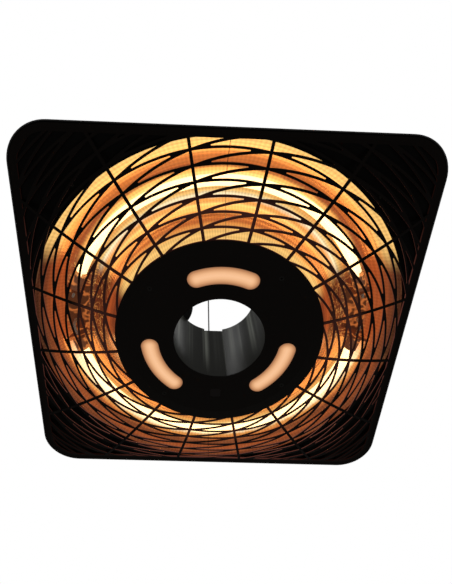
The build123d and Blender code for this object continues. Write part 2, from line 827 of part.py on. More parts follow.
with BuildPart() as sensor_receiver:
    with BuildSketch(Plane.XY.offset(lens_top)):
        with PolarLocations(sensor_radius, 1, start_angle=sensor_turn):
            Rectangle(sensor_depth, sensor_width - 2)
    extrude(amount=light_depth - seat_gap)
sensor_receiver.part.label = "sensor_receiver"
export_step(sensor_receiver.part, "parts/sensor_receiver.step")

# Shelf in the core drum with the control board on spacers
with BuildPart() as core_shelf:
    with BuildSketch(Plane.XY.offset(rim + shelf_height)):
        Circle(core_inner - seat_gap)
        Circle(tray_bore, mode=Mode.SUBTRACT)
    extrude(amount=sheet_wall)
core_shelf.part.label = "core_shelf"
export_step(core_shelf.part, "parts/core_shelf.step")

shelf_top = rim + shelf_height + sheet_wall
board_top = shelf_top + spacer_height + board_wall
spacer_turns = (board_start + 8, board_start + board_sweep - 8)
with BuildPart() as board_spacers:
    with BuildSketch(Plane.XY.offset(shelf_top)):
        for turn in spacer_turns:
            with Locations(polar(board_inner + 5, turn), polar(board_outer - 5, turn)):
                Circle(spacer_radius)
    extrude(amount=spacer_height)
board_spacers.part.label = "board_spacers"
export_step(board_spacers.part, "parts/board_spacers.step")

with BuildPart() as control_board:
    with BuildSketch(Plane.XY.offset(shelf_top + spacer_height)):
        make_face(sector(board_inner, board_outer, board_start, board_sweep))
    extrude(amount=board_wall)
control_board.part.label = "control_board"
export_step(control_board.part, "parts/control_board.step")

board_middle = (board_inner + board_outer) / 2
with BuildPart() as power_relay:
    with BuildSketch(Plane.XY.offset(board_top)):
        with PolarLocations(board_middle, 1, start_angle=board_start + 40):
            RectangleRounded(19, 15, 1)
    extrude(amount=15)
    fillet(power_relay.faces().sort_by(Axis.Z)[-1].edges(), 0.8)
power_relay.part.label = "power_relay"
export_step(power_relay.part, "parts/power_relay.step")

with BuildPart() as light_driver:
    with BuildSketch(Plane.XY.offset(board_top)):
        with PolarLocations(board_middle, 1, start_angle=board_start + 74):
            RectangleRounded(26, 18, 1.5)
    extrude(amount=14)
    fillet(light_driver.faces().sort_by(Axis.Z)[-1].edges(), 1)
light_driver.part.label = "light_driver"
export_step(light_driver.part, "parts/light_driver.step")

with BuildPart() as board_capacitors:
    with BuildSketch(Plane.XY.offset(board_top)):
        for radius in (board_middle - 9, board_middle + 9):
            with PolarLocations(radius, 1, start_angle=board_start + 19):
                Circle(5)
    extrude(amount=13)
    fillet(board_capacitors.faces().group_by(Axis.Z)[-1].edges(), 0.6)
board_capacitors.part.label = "board_capacitors"
export_step(board_capacitors.part, "parts/board_capacitors.step")

with BuildPart() as board_connector:
    with BuildSketch(Plane.XY.offset(board_top)):
        with PolarLocations(board_middle, 1, start_angle=board_start + 99):
            Rectangle(10, 16)
    extrude(amount=9)
    with BuildSketch(Plane.XY.offset(board_top + 3)):
        with PolarLocations(board_middle, 1, start_angle=board_start + 99):
            Rectangle(7, 13)
    extrude(amount=6, mode=Mode.SUBTRACT)
board_connector.part.label = "board_connector"
export_step(board_connector.part, "parts/board_connector.step")

# Ceramic terminals where the lamp leads end
terminal_turns = ((riser_turns[1] + riser_turns[2]) / 2, (riser_turns[3] + riser_turns[0]) / 2 + 180)
terminal_swing = radians(riser_turns[2] - terminal_turns[0])
terminal_out = terminal_face * cos(terminal_swing) - lead_radius * sin(terminal_swing)
terminal_tall = lead_height + 2 * lead_radius - shelf_height - sheet_wall
with BuildPart() as lamp_terminals:
    with BuildSketch(Plane.XY.offset(shelf_top)):
        for turn in terminal_turns:
            with PolarLocations(terminal_out, 1, start_angle=turn):
                Rectangle(18, 30, align=(Align.MAX, Align.CENTER))
    extrude(amount=terminal_tall)
    fillet(lamp_terminals.faces().group_by(Axis.Z)[-1].edges(), 1)
lamp_terminals.part.label = "lamp_terminals"
export_step(lamp_terminals.part, "parts/lamp_terminals.step")

# Roof screws and nuts that clamp the shade to the core drum
roof_screw_radius = core_inner - core_flange / 2
with BuildPart() as roof_screws:
    with BuildSketch(Plane.XY.offset(rim + roof_height)):
        with PolarLocations(roof_screw_radius, 4, start_angle=45):
            Circle(head_radius)
    extrude(amount=head_height)
    fillet(roof_screws.faces().group_by(Axis.Z)[-1].edges(), 0.9)
    with BuildSketch(Plane.XY.offset(rim + roof_height)):
        with PolarLocations(roof_screw_radius, 4, start_angle=45):
            Circle(screw_radius)
    extrude(amount=-2 * sheet_wall - 4)
roof_screws.part.label = "roof_screws"
export_step(roof_screws.part, "parts/roof_screws.step")

with BuildPart() as roof_nuts:
    with BuildSketch(Plane.XY.offset(rim + roof_under - sheet_wall)):
        with PolarLocations(roof_screw_radius, 4, start_angle=45):
            RegularPolygon(head_radius, 6)
            Circle(screw_radius + running_gap, mode=Mode.SUBTRACT)
    extrude(amount=-2.4)
roof_nuts.part.label = "roof_nuts"
export_step(roof_nuts.part, "parts/roof_nuts.step")

# Connection box on the roof, standing on the tube's flange and three feet
box_floor = rim + roof_height + sheet_wall
box_top = box_floor + box_height
flat_wall = box_x - box_radius - box_wall
flat_inner = flat_wall + 3 * box_wall
gland_height = box_floor + box_height / 2
lid_screw_radius = box_radius - box_wall - 2.5
with BuildPart() as junction_box:
    with BuildSketch(Plane.XY.offset(box_floor)):
        with Locations((box_x, box_y)):
            Circle(box_radius)
        with Locations((flat_wall, box_y)):
            Rectangle(box_radius, 2 * gland_boss, align=(Align.MIN, Align.CENTER))
    extrude(amount=box_height)
    with BuildSketch(Plane.XY.offset(box_floor + box_wall)):
        with Locations((box_x, box_y)):
            Circle(box_radius - box_wall)
        with Locations((flat_inner - box_radius, box_y)):
            Rectangle(
                box_radius, 2 * box_radius, align=(Align.MIN, Align.CENTER), mode=Mode.SUBTRACT
            )
        with Locations((box_x, box_y)):
            with PolarLocations(lid_screw_radius, 3):
                Circle(screw_radius + box_wall, mode=Mode.SUBTRACT)
    extrude(amount=box_height, mode=Mode.SUBTRACT)
    with BuildSketch(Plane.XY.offset(rim + roof_height)):
        with Locations((box_x, box_y)):
            with PolarLocations(box_pad_radius, 3, box_pad_turn, box_pad_sweep, endpoint=True):
                Circle(box_pad)
    extrude(amount=sheet_wall)
    with BuildSketch(Plane.XY.offset(rim + roof_height)):
        with Locations((box_x, box_y)):
            Circle(entry_radius + 1)
            with PolarLocations(box_pad_radius, 3, box_pad_turn, box_pad_sweep, endpoint=True):
                Circle(screw_radius + running_gap)
    extrude(amount=sheet_wall + box_wall, mode=Mode.SUBTRACT)
    with BuildSketch(Plane.XY.offset(box_top)):
        with Locations((box_x, box_y)):
            with PolarLocations(lid_screw_radius, 3):
                Circle(screw_radius + running_gap)
    extrude(amount=-box_height / 2, mode=Mode.SUBTRACT)
    with BuildSketch(Plane.YZ.offset(flat_wall - 1)):
        with Locations((box_y, gland_height)):
            Circle(gland_thread + running_gap)
    extrude(amount=4 * box_wall, mode=Mode.SUBTRACT)
junction_box.part.label = "junction_box"
export_step(junction_box.part, "parts/junction_box.step")

# Screws through the box's floor and pads into the roof
with BuildPart() as box_screws:
    for way, radius, length in ((1, head_radius - 0.4, 1.8), (-1, screw_radius, 3 * sheet_wall + box_wall)):
        with BuildSketch(Plane.XY.offset(box_floor + box_wall)):
            with Locations((box_x, box_y)):
                with PolarLocations(box_pad_radius, 3, box_pad_turn, box_pad_sweep, endpoint=True):
                    Circle(radius)
        extrude(amount=way * length)
box_screws.part.label = "box_screws"
export_step(box_screws.part, "parts/box_screws.step")

# Rubber grommet through the box's floor and the roof
with BuildPart() as box_grommet:
    with BuildSketch(Plane.XY.offset(rim + roof_under - 1)):
        with Locations((box_x, box_y)):
            Circle(entry_radius + 1 - running_gap)
            Circle(entry_radius - 1, mode=Mode.SUBTRACT)
    extrude(amount=1 + 2 * sheet_wall + box_wall)
    with BuildSketch(Plane.XY.offset(box_floor + box_wall)):
        with Locations((box_x, box_y)):
            Circle(entry_radius + 3)
            Circle(entry_radius - 1, mode=Mode.SUBTRACT)
    extrude(amount=1.5)
box_grommet.part.label = "box_grommet"
export_step(box_grommet.part, "parts/box_grommet.step")

# Gasket and lid of the box, with the switch's cut-out
lid_under = box_top + gasket
lid_top = lid_under + box_lid
cut_length = switch_length - 2 * switch_rim
cut_width = switch_width - 2 * switch_rim + 1
with BuildPart() as box_gasket:
    with BuildSketch(Plane.XY.offset(box_top)):
        with Locations((box_x, box_y)):
            Circle(box_radius)
            Circle(box_radius - box_wall - 1, mode=Mode.SUBTRACT)
            with PolarLocations(lid_screw_radius, 3):
                Circle(screw_radius + box_wall)
                Circle(screw_radius + running_gap, mode=Mode.SUBTRACT)
    extrude(amount=gasket)
box_gasket.part.label = "box_gasket"
export_step(box_gasket.part, "parts/box_gasket.step")

with BuildPart() as box_lid_cover:
    with BuildSketch(Plane.XY.offset(lid_under)):
        with Locations((box_x, box_y)):
            Circle(box_radius)
    extrude(amount=box_lid)
    fillet(box_lid_cover.faces().sort_by(Axis.Z)[-1].edges(), 1.2)
    with BuildSketch(Plane.XY.offset(lid_under)):
        with Locations((box_x, box_y)):
            Rectangle(cut_length + 2 * running_gap, cut_width + 2 * running_gap)
            with PolarLocations(lid_screw_radius, 3):
                Circle(screw_radius + running_gap)
    extrude(amount=box_lid, mode=Mode.SUBTRACT)
box_lid_cover.part.label = "box_lid"
export_step(box_lid_cover.part, "parts/box_lid.step")

with BuildPart() as lid_screws:
    with BuildSketch(Plane.XY.offset(lid_top)):
        with Locations((box_x, box_y)):
            with PolarLocations(lid_screw_radius, 3):
                Circle(head_radius - 0.4)
    extrude(amount=head_height - 0.4)
    fillet(lid_screws.faces().group_by(Axis.Z)[-1].edges(), 0.7)
    with BuildSketch(Plane.XY.offset(lid_top)):
        with Locations((box_x, box_y)):
            with PolarLocations(lid_screw_radius, 3):
                Circle(screw_radius)
    extrude(amount=-box_lid - gasket - box_height / 3)
lid_screws.part.label = "lid_screws"
export_step(lid_screws.part, "parts/lid_screws.step")

# Rocker switch in the lid: an open frame and a rocker on side stubs
pivot_height = lid_top + switch_rim - 3.0
pocket_length = 2 * rocker_radius + 1.0
pocket_width = rocker_width + 0.6
stub_radius = 1.2
with BuildPart() as switch_frame:
    with BuildSketch(Plane.XY.offset(lid_top)):
        with Locations((box_x, box_y)):
            RectangleRounded(switch_length, switch_width, 1.5)
    extrude(amount=switch_rim)
    chamfer(switch_frame.faces().sort_by(Axis.Z)[-1].edges(), 0.6)
    with BuildSketch(Plane.XY.offset(lid_top)):
        with Locations((box_x, box_y)):
            Rectangle(cut_length, cut_width)
    extrude(amount=-switch_body)
    with BuildSketch(Plane.XY.offset(lid_top + switch_rim)):
        with Locations((box_x, box_y)):
            Rectangle(pocket_length, pocket_width)
    extrude(amount=-switch_rim - switch_body + 2, mode=Mode.SUBTRACT)
    with BuildSketch(Plane.XZ.offset(-box_y)):
        with Locations((box_x, pivot_height)):
            Circle(stub_radius + running_gap)
    extrude(amount=cut_width / 2 - 0.3, both=True, mode=Mode.SUBTRACT)
switch_frame.part.label = "switch_frame"
export_step(switch_frame.part, "parts/switch_frame.step")

rocker_shoulder = 2.4
rocker_half = sqrt(rocker_radius**2 - rocker_shoulder**2)
rocker_axis = Plane(origin=(box_x, box_y, pivot_height), x_dir=(1, 0, 0), z_dir=(0, -1, 0))
with BuildPart() as rocker_switch:
    with BuildSketch(rocker_axis.rotated((0, -rocker_tilt, 0))):
        with BuildLine():
            Polyline((-rocker_half, rocker_shoulder), (0, rocker_shoulder - 1.4), (rocker_half, rocker_shoulder))
            ThreePointArc(
                (rocker_half, rocker_shoulder), (0, -rocker_radius), (-rocker_half, rocker_shoulder)
            )
        make_face()
    extrude(amount=rocker_width / 2, both=True)
    with BuildSketch(rocker_axis):
        Circle(stub_radius)
    extrude(amount=cut_width / 2 - 0.4, both=True)
rocker_switch.part.label = "rocker_switch"
export_step(rocker_switch.part, "parts/rocker_switch.step")

# Terminal block on the box's floor
with BuildPart() as terminal_block:
    with BuildSketch(Plane.XY.offset(box_floor + box_wall)):
        with Locations((box_x, box_y - box_radius / 2)):
            Rectangle(22, 11)
    extrude(amount=9)
    with BuildSketch(Plane.XY.offset(box_floor + box_wall + 9)):
        with Locations((box_x, box_y - box_radius / 2)):
            with GridLocations(7, 1, 3, 1):
                Rectangle(5, 8)
    extrude(amount=-5, mode=Mode.SUBTRACT)
terminal_block.part.label = "terminal_block"
export_step(terminal_block.part, "parts/terminal_block.step")

# Cable gland: body, locknut, rubber seal and dome cap
gland_axis = Plane(origin=(flat_wall, box_y, gland_height), x_dir=(0, 1, 0), z_dir=(-1, 0, 0))
seal_outer = gland_bore + gland_seal_wall
gland_reach = gland_nut + gland_seal_length
with BuildPart() as gland_body:
    with BuildSketch(gland_axis):
        RegularPolygon(gland_cap, 6)
    extrude(amount=gland_nut)
    with BuildSketch(gland_axis.offset(-3 * box_wall - gland_nut)):
        Circle(gland_thread)
    extrude(amount=3 * box_wall + gland_nut + gland_reach)
    with BuildSketch(gland_axis.offset(-3 * box_wall - gland_nut)):
        Circle(gland_bore + 0.8)
    extrude(amount=3 * box_wall + gland_nut + gland_reach, mode=Mode.SUBTRACT)
    with BuildSketch(gland_axis.offset(gland_nut)):
        Circle(seal_outer + running_gap)
    extrude(amount=gland_seal_length, mode=Mode.SUBTRACT)
gland_body.part.label = "gland_body"
export_step(gland_body.part, "parts/gland_body.step")

with BuildPart() as gland_locknut:
    with BuildSketch(gland_axis.offset(-3 * box_wall - gland_nut + 1)):
        RegularPolygon(gland_cap, 6)
        Circle(gland_thread + running_gap, mode=Mode.SUBTRACT)
    extrude(amount=gland_nut - 1)
gland_locknut.part.label = "gland_locknut"
export_step(gland_locknut.part, "parts/gland_locknut.step")

with BuildPart() as gland_seal:
    with BuildSketch(gland_axis.offset(gland_nut + running_gap)):
        Circle(seal_outer)
        Circle(gland_bore, mode=Mode.SUBTRACT)
    extrude(amount=gland_seal_length - running_gap)
gland_seal.part.label = "gland_seal"
export_step(gland_seal.part, "parts/gland_seal.step")

with BuildPart() as gland_dome:
    with BuildSketch(gland_axis.offset(gland_nut + seat_gap)):
        Circle(gland_cap - 0.5)
    extrude(amount=gland_seal_length + 3)
    fillet(gland_dome.faces().sort_by(Axis.X)[0].edges(), 4)
    with BuildSketch(gland_axis.offset(gland_nut + seat_gap)):
        Circle(gland_thread + running_gap)
    extrude(amount=gland_seal_length, mode=Mode.SUBTRACT)
    with BuildSketch(gland_axis.offset(gland_nut + seat_gap)):
        Circle(gland_bore + 0.6)
    extrude(amount=gland_seal_length + 4, mode=Mode.SUBTRACT)
gland_dome.part.label = "gland_dome"
export_step(gland_dome.part, "parts/gland_dome.step")

# Wire anchors: three flanged cups on the roof that hold the wires' lower balls
ball_seat = sqrt(ball_radius**2 - wire_hole**2) + running_gap
anchor_top_wall = 2.0
anchor_ball = rim + roof_height + anchor_height - anchor_top_wall - ball_seat
crown_ball = rim + crown_height + crown_wall + ball_seat
feet = [
    Plane(
        origin=(*polar(anchor_radius, turn), rim + roof_height),
        x_dir=Vector(*polar(1, turn)),
        z_dir=(0, 0, 1),
    )
    for turn in wire_turns
]
with BuildPart() as wire_anchors:
    for foot in feet:
        with BuildSketch(foot):
            SlotOverall(2 * anchor_flange + 6, anchor_flange + 4, rotation=90)
        extrude(amount=anchor_flange_wall)
        with BuildSketch(foot):
            Circle(anchor_body)
        extrude(amount=anchor_height)
    fillet(wire_anchors.faces().group_by(Axis.Z)[-1].edges(), 1.5)
    for foot in feet:
        with BuildSketch(foot):
            Circle(anchor_cavity)
        extrude(amount=anchor_height - anchor_top_wall, mode=Mode.SUBTRACT)
        with BuildSketch(foot):
            Circle(wire_hole)
            with GridLocations(1, 2 * (anchor_flange - 1), 1, 2):
                Circle(screw_radius + running_gap)
        extrude(amount=anchor_height, mode=Mode.SUBTRACT)
wire_anchors.part.label = "wire_anchors"
export_step(wire_anchors.part, "parts/wire_anchors.step")

# Steel wires with a ball swaged on each end
with BuildPart() as hanging_wires:
    for turn in wire_turns:
        low = Vector(*polar(anchor_radius, turn), anchor_ball)
        high = Vector(*polar(crown_pitch, turn), crown_ball)
        with BuildSketch(Plane(origin=low, z_dir=high - low)):
            Circle(wire_radius)
        extrude(amount=(high - low).length)
        with Locations(low, high):
            Sphere(ball_radius)
hanging_wires.part.label = "hanging_wires"
export_step(hanging_wires.part, "parts/hanging_wires.step")

with BuildPart() as anchor_screws:
    for foot in feet:
        with BuildSketch(foot.offset(anchor_flange_wall)):
            with GridLocations(1, 2 * (anchor_flange - 1), 1, 2):
                Circle(head_radius - 0.4)
        extrude(amount=head_height - 0.4)
        with BuildSketch(foot.offset(anchor_flange_wall)):
            with GridLocations(1, 2 * (anchor_flange - 1), 1, 2):
                Circle(screw_radius)
        extrude(amount=-anchor_flange_wall - sheet_wall - 2)
anchor_screws.part.label = "anchor_screws"
export_step(anchor_screws.part, "parts/anchor_screws.step")

# Crown plate where the wires meet, turning on the hook's shank
with BuildPart() as crown_plate:
    with BuildSketch(Plane.XY.offset(rim + crown_height)):
        Circle(crown_radius)
    extrude(amount=crown_wall)
    chamfer(crown_plate.edges().filter_by(GeomType.CIRCLE), 0.8)
    with BuildSketch(Plane.XY.offset(rim + crown_height)):
        Circle(hook_bar + running_gap)
        with PolarLocations(crown_pitch, wire_count, start_angle=wire_turn):
            Circle(wire_hole)
    extrude(amount=crown_wall, mode=Mode.SUBTRACT)
crown_plate.part.label = "crown_plate"
export_step(crown_plate.part, "parts/crown_plate.step")

# Hook: threaded shank, collar, open ring and the ears of the gate's hinge
ring_centre = -hook_bore
ring_radius = hook_bore + hook_bar
washer_low = rim + crown_height - running_gap - washer_wall
nut_low = washer_low - running_gap - nut_height
shank_low = nut_low - shank_end
hinge = Vector(*polar(ring_radius, hinge_turn)) + Vector(0, ring_centre)
bar_end_turn = hinge_turn - degrees((ear_radius - 0.2) / ring_radius)
ear_foot = Vector(*polar(ring_radius, bar_end_turn - 8)) + Vector(0, ring_centre)
front = Plane.XZ
with BuildPart() as hook:
    with BuildSketch(Plane.XY.offset(shank_low)):
        Circle(hook_bar)
    extrude(amount=ring_centre - ring_radius - shank_low)
    with BuildSketch(Plane.XY.offset(rim + crown_height + crown_wall + running_gap)):
        Circle(collar_radius)
    extrude(amount=collar_height)
    chamfer(hook.edges().filter_by(GeomType.CIRCLE).sort_by(SortBy.RADIUS)[-2:], 1.0)
    with BuildLine(front):
        ring = CenterArc((0, ring_centre), ring_radius, hook_tip, 360 + bar_end_turn - hook_tip)
    with BuildSketch(Plane(origin=ring @ 0, z_dir=ring % 0)):
        Circle(hook_bar)
    sweep(path=ring)
    with BuildSketch(front):
        with Locations((hinge.X, hinge.Y)):
            Circle(gate_reach + gate_gap)
        with Locations((0, hinge.Y + ear_radius + 1)):
            Rectangle(4 * ring_radius, 4 * ring_radius, align=(Align.MIN, Align.MIN), mode=Mode.INTERSECT)
    extrude(amount=hook_bar + 1, both=True, mode=Mode.SUBTRACT)
    for side in (-1, 1):
        with BuildSketch(front.offset(side * (gate_width / 2 + 0.2) - (ear_wall if side < 0 else 0))):
            with Locations(((ear_foot.X + hinge.X) / 2, (ear_foot.Y + hinge.Y) / 2)):
                SlotCenterToCenter(
                    (hinge - ear_foot).length, 2 * hook_bar - 1, rotation=turn_of(hinge - ear_foot)
                )
            with Locations((hinge.X, hinge.Y)):
                Circle(ear_radius)
                Circle(pin_radius, mode=Mode.SUBTRACT)
        extrude(amount=ear_wall)
hook.part.label = "hook"
export_step(hook.part, "parts/hook.step")

# Gate on its pin, closed against the hook's tip, with the sleeve of its spring
gate_aim = Vector(*polar(ring_radius, hook_tip)) + Vector(0, ring_centre) - hinge
with BuildPart() as gate_pin:
    with BuildSketch(front):
        with Locations((hinge.X, hinge.Y)):
            Circle(pin_radius)
    extrude(amount=gate_width / 2 + 0.2 + ear_wall, both=True)
gate_pin.part.label = "gate_pin"
export_step(gate_pin.part, "parts/gate_pin.step")

with BuildPart() as gate:
    with BuildSketch(front.offset(-0.4)):
        with Locations((hinge.X, hinge.Y)):
            Circle(ear_radius - 1)
    extrude(amount=gate_width / 2 + 0.4)
    with BuildSketch(Plane(origin=(hinge.X, 0, hinge.Y), z_dir=(gate_aim.X, 0, gate_aim.Y)).offset(ear_radius - 1.6)):
        Circle(gate_bar)
    extrude(amount=gate_reach - ear_radius + 1.6)
    with BuildSketch(front):
        with Locations((hinge.X, hinge.Y)):
            Circle(pin_radius + running_gap)
    extrude(amount=gate_width, both=True, mode=Mode.SUBTRACT)
gate.part.label = "gate"
export_step(gate.part, "parts/gate.step")

with BuildPart() as gate_spring:
    with BuildSketch(front.offset(-gate_width / 2)):
        with Locations((hinge.X, hinge.Y)):
            Circle(pin_radius + 0.9)
            Circle(pin_radius + running_gap, mode=Mode.SUBTRACT)
    extrude(amount=gate_width / 2 - 0.6)
gate_spring.part.label = "gate_spring"
export_step(gate_spring.part, "parts/gate_spring.step")

# Washer and nut that carry the crown plate on the shank
with BuildPart() as swivel_washer:
    with BuildSketch(Plane.XY.offset(washer_low)):
        Circle(washer_radius)
        Circle(hook_bar + running_gap, mode=Mode.SUBTRACT)
    extrude(amount=washer_wall)
swivel_washer.part.label = "swivel_washer"
export_step(swivel_washer.part, "parts/swivel_washer.step")

with BuildPart() as swivel_nut:
    with BuildSketch(Plane.XY.offset(nut_low)):
        RegularPolygon(nut_flats / 2, 6, major_radius=False)
        Circle(hook_bar + running_gap, mode=Mode.SUBTRACT)
    extrude(amount=nut_height)
swivel_nut.part.label = "swivel_nut"
export_step(swivel_nut.part, "parts/swivel_nut.step")
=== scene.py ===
from math import cos, pi, radians, sin, tau

import bmesh
import bpy
import numpy as np
from mathutils import Matrix, Vector


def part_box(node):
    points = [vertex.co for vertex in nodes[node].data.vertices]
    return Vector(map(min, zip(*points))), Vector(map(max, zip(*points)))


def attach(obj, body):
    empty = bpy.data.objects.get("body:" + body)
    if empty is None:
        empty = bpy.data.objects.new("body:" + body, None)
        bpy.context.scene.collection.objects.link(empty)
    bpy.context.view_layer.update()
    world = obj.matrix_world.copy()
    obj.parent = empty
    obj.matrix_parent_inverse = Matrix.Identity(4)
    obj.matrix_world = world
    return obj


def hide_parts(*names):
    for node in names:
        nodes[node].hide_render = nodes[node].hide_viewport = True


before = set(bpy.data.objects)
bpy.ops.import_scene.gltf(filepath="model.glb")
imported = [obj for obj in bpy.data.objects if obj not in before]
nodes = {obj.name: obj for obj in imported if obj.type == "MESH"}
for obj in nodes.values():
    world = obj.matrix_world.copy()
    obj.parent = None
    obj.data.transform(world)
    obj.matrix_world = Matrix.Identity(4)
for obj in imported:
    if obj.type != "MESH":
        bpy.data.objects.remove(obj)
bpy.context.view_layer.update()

MM = 0.001

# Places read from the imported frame
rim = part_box("shade")[0].z
lamp_tube = (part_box("lamp_tube_near")[1].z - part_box("lamp_tube_near")[0].z) / 2
lamp_radius = -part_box("lamp_tube_near")[0].y - lamp_tube
lamp_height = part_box("lamp_tube_near")[0].z + lamp_tube

# Camera, at the photograph's viewing angle: its place in metres, its turns in degrees, lens and sensor
# in millimetres and the shift in widths of the sensor
camera_place = (-0.03983, -0.28461, -0.95510)
camera_azimuth, camera_elevation, camera_roll = 2.67, 61.56, -0.50
lens_length, sensor_width, lens_shift = 30.38, 36, (0.0539, 0.0255)
nearest, farthest = 0.01, 50


def aim_camera(place, azimuth, elevation, roll, lens, shift):
    """A camera whose axis has this azimuth from +Y towards +X and this elevation, turned by roll."""
    azimuth, elevation, roll = radians(azimuth), radians(elevation), radians(roll)
    forward = Vector((sin(azimuth) * cos(elevation), cos(azimuth) * cos(elevation), sin(elevation)))
    level = Vector((cos(azimuth), -sin(azimuth), 0))
    right = level * cos(roll) + level.cross(forward) * sin(roll)
    up = right.cross(forward)
    camera = bpy.data.objects.new("camera", bpy.data.cameras.new("camera"))
    camera.matrix_world = Matrix.Translation(place) @ Matrix((right, up, -forward)).transposed().to_4x4()
    camera.data.sensor_width = sensor_width
    camera.data.lens = lens
    camera.data.shift_x, camera.data.shift_y = shift
    camera.data.clip_start, camera.data.clip_end = nearest, farthest
    bpy.context.scene.collection.objects.link(camera)
    bpy.context.scene.camera = camera


aim_camera(camera_place, camera_azimuth, camera_elevation, camera_roll, lens_length, lens_shift)


# Finishes
class Finish:
    """A procedural material: one Principled shader, with short calls for the nodes that feed it."""

    def __init__(self, name, colour, **sockets):
        self.material = bpy.data.materials.new(name)
        self.material.use_nodes = True
        self.links = self.material.node_tree.links
        self.shader = self.material.node_tree.nodes["Principled BSDF"]
        self.set(base_color=colour, **sockets)

    def set(self, **sockets):
        """Sets shader sockets to constants, or wires a node's output to them."""
        titles = {"ior_level": "Specular IOR Level"}
        for key, value in sockets.items():
            socket = self.shader.inputs[titles.get(key, key.replace("_", " ").title())]
            self.feed(socket, value)
        return self

    def feed(self, socket, value):
        """Gives a socket a number, a colour or another node's output."""
        if isinstance(value, bpy.types.NodeSocket):
            self.links.new(value, socket)
        elif isinstance(value, (tuple, list)):
            size = len(socket.default_value)
            socket.default_value = (*value, 1)[:size] if len(value) < size else value
        else:
            socket.default_value = value

    def node(self, kind, inputs=(), **settings):
        """Adds a node of a kind with its settings and inputs."""
        node = self.material.node_tree.nodes.new("ShaderNode" + kind)
        for key, value in settings.items():
            setattr(node, key, value)
        for key, value in dict(inputs).items():
            self.feed(node.inputs[key], value)
        return node

    def place(self):
        """The object's own coordinates, in metres."""
        return self.node("TexCoord").outputs["Object"]

    def math(self, operation, *values, clamp=False):
        """One arithmetic step."""
        return self.node("Math", enumerate(values), operation=operation, use_clamp=clamp).outputs[0]

    def times(self, first, second, clamp=False):
        """The product of two values."""
        return self.math("MULTIPLY", first, second, clamp=clamp)

    def less(self, first, second, clamp=False):
        """The first value less the second."""
        return self.math("SUBTRACT", first, second, clamp=clamp)

    def length(self, first, second):
        """The length of a vector from its two parts."""
        return self.math("SQRT", self.math("ADD", self.times(first, first), self.times(second, second)))

    def between(self, value, start, end, first, last):
        """Runs in a straight line from first at start to last at end, and stays there outside them."""
        node = self.node("MapRange", {0: value, 1: start, 2: end, 3: first, 4: last})
        return node.outputs[0]

    def veins(self, scale, thinness):
        """1 on the lines where cloud noise crosses its middle, and 0 away from them."""
        ridge = self.math("ABSOLUTE", self.less(self.noise(scale), 0.5))
        return self.less(1.0, self.times(ridge, thinness), clamp=True)

    def span(self, value, low, high):
        """0 at low and 1 at high, with a smooth step between."""
        node = self.node("MapRange", {0: value, 1: low, 2: high}, interpolation_type="SMOOTHSTEP")
        return node.outputs[0]

    def noise(self, scale, detail=2.0, roughness=0.5, place=None):
        """Cloud noise from 0 to 1, over the object's coordinates or over a given place."""
        facts = {"Vector": place or self.place(), "Scale": scale, "Detail": detail, "Roughness": roughness}
        return self.node("TexNoise", facts).outputs[0]

    def ramp(self, value, *stops):
        """A colour that runs through the stops, each a place from 0 to 1 and a colour."""
        node = self.node("ValToRGB", {0: value})
        marks = node.color_ramp.elements
        while len(marks) < len(stops):
            marks.new(0.5)
        for mark, stop in zip(marks, sorted(stops)):
            mark.position = stop[0]
        for mark, stop in zip(marks, sorted(stops)):
            mark.color = (*stop[1], 1)
        return node.outputs[0]

    def mix(self, share, first, second, blend="MIX"):
        """One colour over another."""
        node = self.node("Mix", data_type="RGBA", blend_type=blend)
        for socket, value in zip([node.inputs[0], node.inputs[6], node.inputs[7]], [share, first, second]):
            self.feed(socket, value)
        return node.outputs[2]

    def bump(self, height, distance):
        """Raises the surface by a height times a distance in metres."""
        node = self.node("Bump", {"Height": height, "Distance": distance, "Strength": 1.0})
        return self.set(normal=node.outputs[0])

    def round_about(self):
        """Radius from the heater's axis in metres, and angle from +X towards +Y in radians."""
        place = self.node("SeparateXYZ", {0: self.place()})
        x, y = place.outputs[0], place.outputs[1]
        return self.length(x, y), self.math("ARCTAN2", y, x)


def wear(*names, finish):
    """Gives CAD nodes a finish in place of what they had."""
    for name in names:
        materials = nodes[name].data.materials
        materials.clear()
        materials.append(finish.material)


# Sprayed black sheet. The cloud and the peel are in cells per metre.
gloss_cloud, orange_peel = 28, 900
gloss_below, gloss_above = 0.06, 0.08


def enamel(name, colour, roughness, ior_level, grain=0.04 * MM):
    """Sprayed enamel: an orange peel of a height in metres, and a slight unevenness in its gloss."""
    finish = Finish(name, colour, ior_level=ior_level)
    cloud = finish.noise(gloss_cloud, 4)
    finish.set(roughness=finish.between(cloud, 0, 1, roughness - gloss_below, roughness + gloss_above))
    finish.bump(finish.noise(orange_peel, 3), grain)
    return finish


def painted_sky_streak_enamel():
    """Tube enamel with a painted reflection of the sky: soft upright streaks of emission that fade towards
    the lower edge.
    """
    finish = enamel("tube_enamel", (0.004, 0.004, 0.0035), 0.34, 0.25, 0.01 * MM)
    # Painted reflection: the emission runs from near black to a pale grey on the streaks, fading downwards.
    dark, sky = (0.006, 0.006, 0.005), (0.085, 0.088, 0.076)
    streak_scale, streak_low, streak_high = 3.2, 0.46, 0.72
    fade_low, fade_high = rim - 28 * MM, rim + 35 * MM
    angle = finish.round_about()[1]
    upright = finish.node("CombineXYZ", {0: angle}).outputs[0]
    painted_sky_streak = finish.span(finish.noise(streak_scale, 3, 0.6, place=upright), streak_low, streak_high)
    height = finish.node("SeparateXYZ", {0: finish.place()}).outputs[2]
    share = finish.times(painted_sky_streak, finish.span(height, fade_low, fade_high))
    return finish.set(emission_color=finish.mix(share, dark, sky), emission_strength=1.0)


